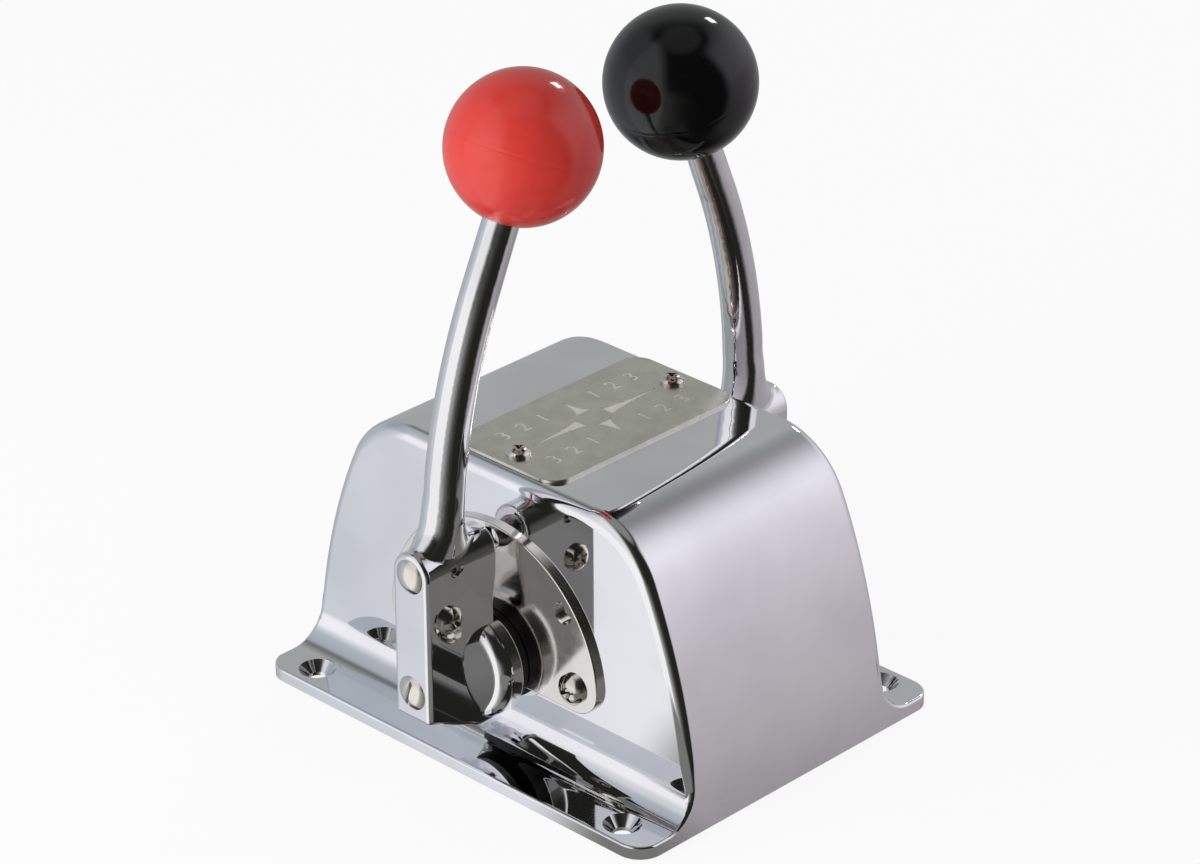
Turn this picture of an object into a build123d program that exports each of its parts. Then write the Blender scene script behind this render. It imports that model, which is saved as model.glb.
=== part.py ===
from build123d import *
import os
from math import asin, cos, degrees, radians, sin, sqrt

# Twin-lever, top-mounted boat control. A chromed housing carries a throttle lever on its port
# side and a shift lever on its starboard side. Millimetres, +X to starboard, +Y ahead, +Z up,
# origin at the middle of the base. The two lever sides are a handed pair, so each piece is
# modelled once, on the starboard side, and mirrored to port.

# Housing
base_width = 126.9
base_length = 157.3
housing_height = 89.8
body_width = 83.8
flange_thickness = 4.0
flange_corner_radius = 8.0
foot_radius = 10.0             # hollow curve from side wall to flange
edge_radius = 2.0              # rounding along every outer edge
wall_thickness = 3.0
wall_radius = 200.0            # long curve of the front and back walls
wall_lean = radians(2.6)       # lean of those walls at the foot
crown_radius = 27.0            # bend from those walls into the flat top
inner_corner_radius = 2.0

# Deck bolts, countersunk in the flanges
bolt_spacing_x = 110.8
bolt_spacing_y = 127.4
bolt_hole_radius = 2.8
countersink_radius = 5.7

# Name plate and its two screws
plate_length = 77.2
plate_width = 42.0
plate_thickness = 1.0
plate_corner_radius = 6.5
plate_edge = 0.25
plate_screw_spacing = 64.2
plate_screw_radius = 1.95
plate_screw_head = 3.7
plate_post_radius = 4.6
plate_post_length = 9.0
plate_screw_length = 10.0

# Shaft, bush and the boss that holds it
shaft_height = 30.0
shaft_radius = 6.0
shaft_flat = 1.2               # depth of the driving flat at each end
shaft_length = 42.8
shaft_setback = 0.3            # shaft ends short of the crank's face and of its socket's bottom
bush_edge = 0.4
bush_radius = 8.0
bush_flange_radius = 11.0
bush_flange_thickness = 1.5
boss_radius = 13.0
boss_length = 9.0
running_gap = 0.05             # radial, for a shaft in its bush and a ball in its barrel
fit_gap = 0.02                 # radial, for pieces fixed to each other
thread_gap = 0.05              # radial, screw shank to its tapped hole
clear_gap = 0.25               # radial, screw shank to a plain hole

# Quadrant, a half-moon detent plate
quadrant_radius = 42.6
quadrant_drop = 6.6            # how far it reaches below the shaft axis
quadrant_thickness = 2.0
quadrant_corner_radius = 9.0
quadrant_edge = 0.5
quadrant_centre_radius = 7.5
quadrant_screw_offset = 33.0
quadrant_screw_rise = 1.0
quadrant_screw_radius = 2.45
quadrant_screw_head = 4.8
quadrant_post_radius = 5.0
quadrant_post_length = 5.0
quadrant_screw_length = 9.0
detent_radius = 38.0           # shaft axis to detent holes
detent_angle = 50.0            # lever travel each way
detent_hole_radius = 3.1
detent_hole_edge = 0.4

# Lever arm: hub, block with the detent barrel along its top, and the curved rod
arm_half_thickness = 7.15
arm_gap = 4.3                  # quadrant to the mouth of the detent barrel
arm_reach = 32.3               # quadrant to the outer end of the block
arm_edge_radius = 1.5
barrel_edge_radius = 1.0
arm_lean_x = 2.1               # lean of the block's inner face
arm_lean_top = 32.0            # heights above the axis between which it leans
arm_lean_foot = 16.0
arm_toe_outer = 8.4            # depth of the block below the axis, outer end
arm_toe_inner = 16.8           # and inner end
hub_radius = 17.0
hub_gap = 3.8                  # quadrant to hub
hub_outer = 12.2               # quadrant to the hub's outer face
hub_dome_radius = 4.5
hub_edge_radius = 0.6
rod_offset = 18.9              # quadrant to the rod's axis at its foot
rod_foot_radius = 6.25
rod_tip_radius = 5.4
rod_root_radius = 3.0          # rounding where the flare meets the barrel
rod_bend_start = 76.0
rod_bend_radius = 192.0
rod_bend_angle = radians(23.0)
rod_lean = 1.6                 # degrees that the rod leans aft of the block
rod_thread_radius = 4.0
rod_thread_length = 15.0
# Flare of the rod's root: height above the barrel's axis, and how far it stands out and in
rod_flare = (
    (1.5, 6.3, 3.2),
    (5.2, 5.9, 2.9),
    (7.6, 4.4, 1.9),
    (9.8, 2.6, 1.0),
    (12.4, 1.1, 0.35),
    (16.0, 0.25, 0.0),
)
rod_first_station = 0.2        # share of the rod's length where it is round
rod_station_count = 15

# Knob and its threaded insert
knob_radius = 22.5
knob_height = 188.0
knob_seat = 21.4               # centre of the ball to the flat that seats on the rod
insert_radius = 6.0
insert_length = 17.0

# Detent parts inside the barrel
ball_radius = 4.0
ball_clearance = 0.05          # ball to quadrant, lever between two holes
spring_wire_radius = 0.5
spring_radius = 3.1
spring_turns = 5
spring_ball_contact = 3.6      # ball's centre to the first coil
plug_radius = 4.45
plug_head_radius = 5.3
plug_length = 14.2
set_screw_radius = 2.0
set_screw_length = 2.0
set_screw_offset = 20.8
set_screw_socket_radius = 1.0

# Screws through the block
shaft_screw_radius = 2.95
shaft_screw_length = 26.0
shaft_tapped_depth = 18.0
cross_screw_offset = 23.8
cross_screw_rise = 23.4
cross_screw_radius = 1.95
cross_screw_head = 4.2
cross_screw_length = 11.0
pan_height = 0.62              # height of a pan head, as a share of its radius
pan_rim = 0.35                 # its straight rim, as a share of its height
oval_height = 0.4              # height of an oval head's dome, as a share of its radius
recess_width = 1.15            # span of a cross recess, as a share of the head's radius
recess_arm = 0.24              # width of its arms, as a share of the span
slot_width = 1.3
drive_depth = 1.3              # recess or slot

# Thrust washer between hub and quadrant
washer_gap = 0.3
washer_radius = 15.2

# Crank, inside the housing
crank_gap = 0.5                # bush flange to crank
crank_thickness = 5.0
crank_throw = 30.0
crank_hub_radius = 11.0
crank_end_radius = 7.5
crank_edge = 0.5
crank_washer_radius = 9.0
crank_washer_thickness = 1.5
crank_screw_radius = 2.95
crank_screw_flats = 10.0
crank_screw_head = 4.0
crank_screw_length = 14.0
crank_screw_crown = 0.48       # radius of the head's crown, as a share of its width over flats

# Cable stud, which turns in the crank's end
stud_shank_radius = 3.15
stud_head_radius = 5.5
stud_head_length = 11.0
stud_bore_radius = 2.6         # takes the cable's end rod
stud_side_gap = 0.3
stud_edge = 0.5
stud_pin_end = 1.0             # pin left beyond the clip
stud_groove_radius = 2.4
clip_radius = 5.0
clip_thickness = 0.8
clip_mouth = 4.4

# Stations along X on the starboard side, from the middle of the housing outward
wall_face = body_width / 2
wall_inside = wall_face - wall_thickness
quadrant_face = wall_face + quadrant_thickness
boss_face = wall_inside - boss_length
bush_face = boss_face - bush_flange_thickness
crank_outer = bush_face - crank_gap
crank_inner = crank_outer - crank_thickness
shaft_inner = crank_inner + shaft_setback
shaft_shoulder = bush_face - crank_gap / 2
shaft_outer = shaft_inner + shaft_length
hub_inner_face = quadrant_face + hub_gap
hub_outer_face = quadrant_face + hub_outer
barrel_mouth = quadrant_face + arm_gap
arm_face = quadrant_face + arm_reach
plug_inner = arm_face - plug_length
ball_x = quadrant_face + ball_clearance + ball_radius
barrel_height = shaft_height + detent_radius
rod_x = quadrant_face + rod_offset


def facing_x(x, y=0.0, z=shaft_height):
    # a plane whose normal is +X, with its own axes along +Y and +Z
    return Plane(origin=(x, y, z), x_dir=(0, 1, 0), z_dir=(1, 0, 0))


def bar_x(radius, start, end, y=0.0, z=shaft_height):
    return extrude(facing_x(start, y, z) * Circle(radius), end - start)


def flatted_bar_x(radius, flat, start, end):
    # a round bar along X with one flat on its upper side
    keep = Pos(0, -flat) * Rectangle(2 * radius, 2 * radius)
    return extrude(facing_x(start) * (Circle(radius) & keep), end - start)


def rim(solid, x, radius):
    # the round edge of that radius at station x
    return [
        e for e in solid.edges().filter_by(GeomType.CIRCLE)
        if abs(e.center().X - x) < 0.01 and abs(e.radius - radius) < 0.01
    ]


def cross_recess(width, depth):
    # tapered cross slot for a cross-point driver, cut down from z = 0
    arm = Pos(0, 0, -depth / 2) * Box(width, width * recess_arm, depth)
    point = Pos(0, 0, -depth) * Cone(0.1, width / 3, depth, align=(Align.CENTER, Align.CENTER, Align.MIN))
    return arm + Rot(0, 0, 90) * arm + point


def pan_screw(head_radius, shank_radius, length):
    # underside of the head at z = 0, shank down
    height = head_radius * pan_height
    edge = height * pan_rim
    outline = Polyline((shank_radius, -length), (0, -length), (0, height))
    dome = ThreePointArc((0, height), (head_radius * 0.72, height * 0.78), (head_radius, edge))
    under = Polyline((head_radius, edge), (head_radius, 0), (shank_radius, 0), (shank_radius, -length))
    body = revolve(Plane.XZ * make_face(outline + dome + under), Axis.Z)
    return body - Pos(0, 0, height + 0.1) * cross_recess(head_radius * recess_width, drive_depth + 0.1)


def oval_screw(head_radius, shank_radius, length, slotted):
    # raised countersunk head: rim at z = 0, cone and shank below, dome above
    dome_height = head_radius * oval_height
    cone_depth = head_radius - shank_radius
    outline = Polyline((shank_radius, -length), (0, -length), (0, dome_height))
    dome = ThreePointArc((0, dome_height), (head_radius * 0.52, dome_height * 0.75), (head_radius, 0))
    under = Polyline((head_radius, 0), (shank_radius, -cone_depth), (shank_radius, -length))
    body = revolve(Plane.XZ * make_face(outline + dome + under), Axis.Z)
    if slotted:
        body -= Pos(0, 0, dome_height) * Box(slot_width, 3 * head_radius, 2 * drive_depth)
    return body


def oval_seat(head_radius, hole_radius, depth):
    # clearance for an oval screw, with its rim at z = 0
    cone = Pos(0, 0, hole_radius - head_radius) * Cone(
        hole_radius, head_radius, head_radius - hole_radius, align=(Align.CENTER, Align.CENTER, Align.MIN)
    )
    return cone + Pos(0, 0, -depth / 2) * Cylinder(hole_radius, depth)


def wall_section(inset):
    # fore-and-aft section of the housing: leaning curved walls, tight crowns and a flat top
    centre_y = base_length / 2 - wall_radius * cos(wall_lean)
    centre_z = -wall_radius * sin(wall_lean)
    foot = asin(-centre_z / (wall_radius - inset))
    bend = asin((housing_height - crown_radius - centre_z) / (wall_radius - crown_radius))
    crown_y = centre_y + (wall_radius - crown_radius) * cos(bend)
    crown_z = centre_z + (wall_radius - crown_radius) * sin(bend)
    wall = CenterArc((centre_y, centre_z), wall_radius - inset, degrees(foot), degrees(bend - foot))
    crown = CenterArc((crown_y, crown_z), crown_radius - inset, degrees(bend), 90 - degrees(bend))
    floor = Line((0, 0), wall @ 0)
    top = Line(crown @ 1, (0, housing_height - inset))
    half = Curve() + [floor, wall, crown, top]
    return Plane.YZ * make_face(half + mirror(half, Plane.YZ))


def on_flange_corner(edge):
    middle = edge.center()
    return abs(middle.X) > base_width / 2 - 0.1 and abs(middle.Y) > base_length / 2 - 3 and abs((edge % 0.5).Z) > 0.9


def on_foot(edge):
    middle = edge.center()
    return abs(abs(middle.X) - wall_face) < 0.01 and abs(middle.Z - flange_thickness) < 0.01


def on_outline(edge):
    # the closed loop round each side: flange edge, wall edge, crown and top
    middle = edge.center()
    foot_seam = abs(middle.Y) < 1 and middle.Z < shaft_height and abs(middle.X) < base_width / 2 - 1
    return middle.Z > flange_thickness - 0.5 and abs(middle.X) > 1 and not foot_seam


def make_shell():
    section = wall_section(0)
    body = extrude(section, wall_face, both=True)
    plinth = extrude(section, base_width / 2, both=True)
    plinth &= Pos(0, 0, flange_thickness / 2) * Box(base_width, 2 * base_length, flange_thickness)
    shell = body + plinth
    shell = fillet([e for e in shell.edges() if on_flange_corner(e)], flange_corner_radius)
    shell = fillet([e for e in shell.edges() if on_foot(e)], foot_radius)
    return fillet([e for e in shell.edges() if on_outline(e)], edge_radius)


def make_housing():
    hollow = extrude(wall_section(wall_thickness), wall_inside, both=True)
    inner_corners = [e for e in hollow.edges() if abs(e.center().X) > 1 and e.center().Z > 1]
    hollow = fillet(inner_corners, inner_corner_radius)
    housing = make_shell() - hollow
    for turn in (Rot(0, 0, 0), Rot(0, 0, 180)):
        housing += turn * bar_x(boss_radius, boss_face, wall_inside + 1)
        for y in (-quadrant_screw_offset, quadrant_screw_offset):
            start = wall_inside - quadrant_post_length
            post_height = shaft_height + quadrant_screw_rise
            housing += turn * bar_x(quadrant_post_radius, start, wall_inside + 1, y, post_height)
            tapped = quadrant_screw_radius + thread_gap
            housing -= turn * bar_x(tapped, start - 1, wall_face + 1, y, post_height)
        post = Pos(plate_screw_spacing / 2, 0, housing_height - wall_thickness - plate_post_length / 2 + 0.5)
        housing += turn * post * Cylinder(plate_post_radius, plate_post_length + 1)
        housing -= turn * Pos(plate_screw_spacing / 2, 0, housing_height) * Cylinder(plate_screw_radius + thread_gap, 40)
        housing -= turn * bar_x(bush_radius + fit_gap, boss_face - 1, wall_face + 1)
    sink_depth = countersink_radius - bolt_hole_radius
    sink = Cone(bolt_hole_radius, countersink_radius, sink_depth, align=(Align.CENTER, Align.CENTER, Align.MAX))
    relief = Cylinder(countersink_radius, edge_radius, align=(Align.CENTER, Align.CENTER, Align.MIN))
    hole = Cylinder(bolt_hole_radius, 3 * flange_thickness)
    for place in GridLocations(bolt_spacing_x, bolt_spacing_y, 2, 2):
        housing -= place * Pos(0, 0, flange_thickness) * (sink + relief)
        housing -= place * hole
    return housing


def make_name_plate():
    outline = RectangleRounded(plate_length, plate_width, plate_corner_radius)
    for place in GridLocations(plate_screw_spacing, 0, 2, 1):
        outline -= place * Circle(plate_screw_radius + clear_gap)
    plate = Pos(0, 0, housing_height) * extrude(outline, plate_thickness)
    return chamfer(plate.edges().group_by(Axis.Z)[-1], plate_edge)


def make_name_plate_screws():
    screw = pan_screw(plate_screw_head, plate_screw_radius, plate_screw_length)
    seat = housing_height + plate_thickness
    return [Pos(x, 0, seat) * screw for x in (-plate_screw_spacing / 2, plate_screw_spacing / 2)]


def make_quadrant():
    blank = Circle(quadrant_radius) & Pos(0, quadrant_radius) * Rectangle(
        2 * quadrant_radius, 2 * (quadrant_radius + quadrant_drop)
    )
    blank = fillet(blank.vertices(), quadrant_corner_radius)
    plate = extrude(facing_x(wall_face) * blank, quadrant_thickness)
    plate = fillet(plate.edges().group_by(Axis.X)[-1], quadrant_edge)
    plate -= bar_x(quadrant_centre_radius, wall_face - 1, quadrant_face + 1)
    for angle in (-detent_angle, 0, detent_angle):
        y = detent_radius * sin(radians(angle))
        z = shaft_height + detent_radius * cos(radians(angle))
        plate -= bar_x(detent_hole_radius, wall_face - 1, quadrant_face + 1, y, z)
    plate = chamfer(rim(plate, quadrant_face, detent_hole_radius), detent_hole_edge)
    for y in (-quadrant_screw_offset, quadrant_screw_offset):
        clear = quadrant_screw_radius + clear_gap
        plate -= bar_x(clear, wall_face - 1, quadrant_face + 1, y, shaft_height + quadrant_screw_rise)
    return plate


def make_quadrant_screws():
    screw = pan_screw(quadrant_screw_head, quadrant_screw_radius, quadrant_screw_length)
    height = shaft_height + quadrant_screw_rise
    places = [facing_x(quadrant_face, y, height) for y in (-quadrant_screw_offset, quadrant_screw_offset)]
    screws = [place.location * Rot(0, 0, 20) * screw for place in places]
    return screws + [Rot(0, 0, 180) * s for s in screws]


def make_bush():
    sleeve = bar_x(bush_radius, boss_face, wall_face)
    flange = bar_x(bush_flange_radius, bush_face, boss_face)
    flange = chamfer(rim(flange, bush_face, bush_flange_radius), bush_edge)
    return sleeve + flange - bar_x(shaft_radius + running_gap, bush_face - 1, wall_face + 1)


def make_shaft():
    core = bar_x(shaft_radius, shaft_shoulder, hub_inner_face)
    inner = flatted_bar_x(shaft_radius, shaft_flat, shaft_inner, shaft_shoulder)
    outer = flatted_bar_x(shaft_radius, shaft_flat, hub_inner_face, shaft_outer)
    tapped = shaft_screw_radius + thread_gap
    shaft = core + inner + outer
    shaft -= bar_x(tapped, shaft_inner - 1, shaft_inner + crank_screw_length)
    return shaft - bar_x(tapped, shaft_outer - shaft_tapped_depth, shaft_outer + 1)


def make_block():
    # the block's end view is flat sided with a round top, and its side view leans and tapers
    end_view = Circle(arm_half_thickness) + Pos(0, -barrel_height / 2) * Rectangle(2 * arm_half_thickness, barrel_height)
    prism = extrude(facing_x(quadrant_face, 0, barrel_height) * end_view, arm_reach)
    top = barrel_height + arm_half_thickness + 1
    inner_foot = barrel_mouth + arm_lean_x
    side_view = Polyline(
        (barrel_mouth, top),
        (barrel_mouth, shaft_height + arm_lean_top),
        (inner_foot, shaft_height + arm_lean_foot),
        (inner_foot, shaft_height - arm_toe_inner),
        (hub_outer_face, shaft_height - arm_toe_inner),
        (arm_face, shaft_height - arm_toe_outer),
        (arm_face, top),
        close=True,
    )
    block = prism & extrude(Plane.XZ * make_face(side_view), 2 * arm_half_thickness, both=True)
    block = fillet([e for e in block.edges() if e.center().X > hub_outer_face - 3], arm_edge_radius)
    mouth = [
        e for e in block.edges()
        if abs(e.center().X - barrel_mouth) < 1.3 and e.center().Z > shaft_height + arm_lean_foot - 1
    ]
    return fillet(mouth, barrel_edge_radius)


def rod_path():
    # up from the barrel, then a long bend inward and a straight run to the knob
    foot = Line((rod_x, barrel_height), (rod_x, rod_bend_start))
    bend = CenterArc((rod_x - rod_bend_radius, rod_bend_start), rod_bend_radius, 0, degrees(rod_bend_angle))
    run = Vector(-sin(rod_bend_angle), cos(rod_bend_angle))
    reach = (knob_height - (bend @ 1).Y) / run.Y - knob_seat
    tip = Line(bend @ 1, bend @ 1 + run * reach)
    upright = Plane.XZ * (Curve() + [foot, bend, tip])
    lean = Axis((0, 0, barrel_height), (1, 0, 0))
    return Wire(upright.rotate(lean, rod_lean).edges())


def knob_plane():
    # at the ball's centre, with its normal along the rod
    path = rod_path()
    centre = path @ 1 + (path % 1) * knob_seat
    return Plane(origin=centre, x_dir=(0, 1, 0), z_dir=path % 1)


def make_rod():
    # oval sections up the flare, then round ones that taper towards the knob
    path = rod_path()
    sections = []
    for rise, outward, inward in rod_flare:
        place = Plane(origin=path @ 0 + (path % 0) * rise, x_dir=(1, 0, 0), z_dir=path % 0)
        oval = Ellipse(rod_foot_radius + (outward + inward) / 2, rod_foot_radius)
        sections.append(place * Pos((outward - inward) / 2, 0) * oval)
    for station in range(rod_station_count):
        share = rod_first_station + (1 - rod_first_station) * station / (rod_station_count - 1)
        radius = rod_foot_radius + (rod_tip_radius - rod_foot_radius) * share
        across = Vector(0, 1, 0).cross(path % share)
        place = Plane(origin=path @ share, x_dir=across, z_dir=path % share)
        sections.append(place * Circle(radius))
    return loft(sections)


def on_rod_root(edge):
    # where the flare meets the round top of the barrel
    box = edge.bounding_box()
    in_span = box.min.Z > barrel_height and box.max.Z < barrel_height + arm_half_thickness + 1
    return in_span and edge.length > 4 * rod_foot_radius


def make_arm():
    hub = bar_x(hub_radius, hub_inner_face, hub_outer_face)
    hub = fillet(rim(hub, hub_outer_face, hub_radius), hub_dome_radius)
    hub = fillet(rim(hub, hub_inner_face, hub_radius), hub_edge_radius)
    arm = make_block() + hub + make_rod()
    arm = fillet([e for e in arm.edges().filter_by(GeomType.BSPLINE) if on_rod_root(e)], rod_root_radius)
    threaded_end = Cylinder(rod_thread_radius, rod_thread_length, align=(Align.CENTER, Align.CENTER, Align.MIN))
    arm += knob_plane().location * Pos(0, 0, -knob_seat) * threaded_end
    return arm - arm_bores()


def aft_side(offset, height):
    # a plane on the block's aft side, facing aft
    return Plane(origin=(quadrant_face + offset, -arm_half_thickness, height), x_dir=(1, 0, 0), z_dir=(0, -1, 0))


def arm_bores():
    # shaft socket and its screw, the barrel for ball, spring and plug, and two holes in the aft side
    bores = flatted_bar_x(shaft_radius + fit_gap, shaft_flat, hub_inner_face - 1, shaft_outer + shaft_setback)
    screw_seat = oval_seat(plug_head_radius, shaft_screw_radius + clear_gap, arm_face - shaft_outer)
    bores += facing_x(arm_face).location * screw_seat
    bores += bar_x(ball_radius + running_gap, barrel_mouth - 1, plug_inner, 0, barrel_height)
    plug_seat = oval_seat(plug_head_radius, plug_radius + thread_gap, plug_length)
    bores += facing_x(arm_face, 0, barrel_height).location * plug_seat
    set_hole = Circle(set_screw_radius + thread_gap)
    bores += extrude(aft_side(set_screw_offset, barrel_height) * set_hole, -arm_half_thickness)
    cross_hole = Circle(cross_screw_radius + thread_gap)
    cross_height = shaft_height + cross_screw_rise
    return bores + extrude(aft_side(cross_screw_offset, cross_height) * cross_hole, -cross_screw_length)


def make_knob():
    ball = Sphere(knob_radius)
    below = Pos(0, 0, -knob_seat - knob_radius) * Box(4 * knob_radius, 4 * knob_radius, 2 * knob_radius)
    socket = Pos(0, 0, -knob_seat) * Cylinder(insert_radius + fit_gap, 2 * (insert_length + fit_gap))
    return knob_plane().location * (ball - below - socket)


def make_knob_insert():
    collar = Cylinder(insert_radius, insert_length, align=(Align.CENTER, Align.CENTER, Align.MIN))
    bore = Cylinder(rod_thread_radius + thread_gap, 2 * rod_thread_length + 1)
    return knob_plane().location * Pos(0, 0, -knob_seat) * (collar - bore)


def make_shaft_screw():
    screw = oval_screw(plug_head_radius - fit_gap, shaft_screw_radius, shaft_screw_length, True)
    return facing_x(arm_face).location * Rot(0, 0, 10) * screw


def make_detent_plug():
    plug = oval_screw(plug_head_radius - fit_gap, plug_radius, plug_length, False)
    return facing_x(arm_face, 0, barrel_height).location * plug


def make_detent_spring():
    start = ball_x + spring_ball_contact + spring_wire_radius
    length = plug_inner - fit_gap - spring_wire_radius - start
    coil = Helix(pitch=length / spring_turns, height=length, radius=spring_radius)
    wire = sweep(Plane(origin=coil @ 0, z_dir=coil % 0) * RegularPolygon(spring_wire_radius, 6), path=coil)
    return facing_x(start, 0, barrel_height).location * wire


def make_detent_ball():
    return Pos(ball_x, 0, barrel_height) * Sphere(ball_radius)


def make_cross_screw():
    screw = pan_screw(cross_screw_head, cross_screw_radius, cross_screw_length - 1)
    return aft_side(cross_screw_offset, shaft_height + cross_screw_rise).location * Rot(0, 0, 35) * screw


def make_set_screw():
    # grub screw with a hexagon socket, its point on the plug and its face below the surface
    depth = arm_half_thickness - plug_radius - thread_gap
    point = aft_side(set_screw_offset, barrel_height).location * Pos(0, 0, -depth)
    screw = Cylinder(set_screw_radius, set_screw_length, align=(Align.CENTER, Align.CENTER, Align.MIN))
    socket = extrude(RegularPolygon(set_screw_socket_radius, 6), -drive_depth)
    return point * (screw - Pos(0, 0, set_screw_length) * socket)


def make_thrust_washer():
    washer = bar_x(washer_radius, quadrant_face + washer_gap, hub_inner_face)
    return washer - bar_x(shaft_radius + running_gap, quadrant_face, hub_inner_face + 1)


def make_crank():
    cable_end = Pos(crank_throw, 0) * Circle(crank_end_radius)
    outline = make_hull(Circle(crank_hub_radius).edges() + cable_end.edges())
    crank = extrude(facing_x(crank_inner) * outline, crank_thickness)
    crank = chamfer(crank.edges().group_by(Axis.X)[0] + crank.edges().group_by(Axis.X)[-1], crank_edge)
    crank -= flatted_bar_x(shaft_radius + fit_gap, shaft_flat, crank_inner - 1, crank_outer + 1)
    return crank - bar_x(stud_shank_radius + running_gap, crank_inner - 1, crank_outer + 1, crank_throw)


def make_crank_washer():
    start = crank_inner - crank_washer_thickness
    washer = bar_x(crank_washer_radius, start, crank_inner)
    return washer - bar_x(crank_screw_radius + clear_gap, start - 1, crank_inner + 1)


def make_crank_screw():
    seat = crank_inner - crank_washer_thickness
    head = extrude(facing_x(seat) * RegularPolygon(crank_screw_flats / 2, 6, major_radius=False), -crank_screw_head)
    crown_radius_end = crank_screw_flats * crank_screw_crown
    crown = facing_x(seat - crank_screw_head).location * Cone(
        crown_radius_end, crank_screw_flats, crank_screw_head, align=(Align.CENTER, Align.CENTER, Align.MIN)
    )
    return (head & crown) + bar_x(crank_screw_radius, seat - 0.5, seat + crank_screw_length)


def make_cable_stud():
    # collar, pin and cross hole for the cable's end rod
    head_end = crank_inner - stud_side_gap
    head_start = head_end - stud_head_length
    clip_start = crank_outer + stud_side_gap
    clip_end = clip_start + clip_thickness
    head = bar_x(stud_head_radius, head_start, head_end, crank_throw)
    head = chamfer(rim(head, head_start, stud_head_radius) + rim(head, head_end, stud_head_radius), stud_edge)
    stud = head + bar_x(stud_shank_radius, head_end, clip_start, crank_throw)
    stud += bar_x(stud_groove_radius, clip_start, clip_end, crank_throw)
    stud += bar_x(stud_shank_radius, clip_end, clip_end + stud_pin_end, crank_throw)
    middle = (head_start + head_end) / 2
    return stud - Pos(middle, crank_throw, shaft_height) * Cylinder(stud_bore_radius, 4 * stud_head_radius)


def make_stud_clip():
    start = crank_outer + stud_side_gap
    ring = Circle(clip_radius) - Circle(stud_groove_radius + fit_gap)
    ring -= Pos(0, clip_radius) * Rectangle(clip_mouth, 2 * clip_radius)
    return extrude(facing_x(start, crank_throw) * ring, clip_thickness)


def save(name, solids):
    export_step(solids, os.path.join("parts", name + ".step"))


os.makedirs("parts", exist_ok=True)

save("housing", make_housing())
save("name_plate", make_name_plate())
save("name_plate_screws", Compound(make_name_plate_screws()))
save("quadrant_screws", Compound(make_quadrant_screws()))

side_pieces = {
    "quadrant": make_quadrant(),
    "shaft_bush": make_bush(),
    "arm": make_arm(),
    "knob": make_knob(),
    "knob_insert": make_knob_insert(),
    "shaft": make_shaft(),
    "shaft_screw": make_shaft_screw(),
    "thrust_washer": make_thrust_washer(),
    "detent_plug": make_detent_plug(),
    "detent_spring": make_detent_spring(),
    "detent_ball": make_detent_ball(),
    "cross_screw": make_cross_screw(),
    "set_screw": make_set_screw(),
    "crank": make_crank(),
    "crank_washer": make_crank_washer(),
    "crank_screw": make_crank_screw(),
    "cable_stud": make_cable_stud(),
    "stud_clip": make_stud_clip(),
}
for piece, solid in side_pieces.items():
    save("shift_" + piece, solid)
    # a spring keeps its hand, so it is turned to port instead
    port = Rot(0, 0, 180) * solid if piece == "detent_spring" else mirror(solid, Plane.YZ)
    save("throttle_" + piece, port)
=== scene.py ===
import math

import bmesh
import bpy
from mathutils import Matrix, Vector


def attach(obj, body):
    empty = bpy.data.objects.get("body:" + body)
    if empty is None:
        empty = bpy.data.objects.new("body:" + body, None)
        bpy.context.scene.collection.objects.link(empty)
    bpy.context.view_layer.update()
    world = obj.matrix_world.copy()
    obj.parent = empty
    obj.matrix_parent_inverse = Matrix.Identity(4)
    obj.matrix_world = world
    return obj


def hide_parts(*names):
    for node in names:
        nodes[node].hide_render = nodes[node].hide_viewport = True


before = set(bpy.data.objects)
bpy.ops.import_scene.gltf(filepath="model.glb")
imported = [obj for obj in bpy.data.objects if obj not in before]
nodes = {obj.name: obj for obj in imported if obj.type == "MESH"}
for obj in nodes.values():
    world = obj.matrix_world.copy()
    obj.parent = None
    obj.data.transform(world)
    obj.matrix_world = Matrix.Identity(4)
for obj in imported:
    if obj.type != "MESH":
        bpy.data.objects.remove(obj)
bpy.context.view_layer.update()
sides = {"throttle": -1, "shift": 1}  # port and starboard, by the sign of X
print("frame loaded")


def linearColour(code):
    # sRGB hex to the linear values that the shaders take
    channels = [int(code[i : i + 2], 16) / 255 for i in (1, 3, 5)]
    linear = [c / 12.92 if c <= 0.04045 else ((c + 0.055) / 1.055) ** 2.4 for c in channels]
    return (*linear, 1.0)


def addNode(tree, kind, settings=None, values=None, links=None, stops=()):
    # settings go on the node, values on its inputs, and links run into its inputs from (node, output)
    # pairs; stops are a colour ramp's places and colours
    node = tree.nodes.new(kind)
    for name, value in (settings or {}).items():
        setattr(node, name, value)
    for name, value in (values or {}).items():
        node.inputs[name].default_value = value
    for name, (source, output) in (links or {}).items():
        tree.links.new(source.outputs[output], node.inputs[name])
    if stops:
        ramp = node.color_ramp
        while len(ramp.elements) < len(stops):
            ramp.elements.new(0.5)
        for element, (place, code) in zip(ramp.elements, stops):
            element.position = place
            element.color = linearColour(code)
    return node


def newMaterial(name):
    material = bpy.data.materials.new(name)
    material.use_nodes = True
    material.node_tree.nodes.clear()
    return material


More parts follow.
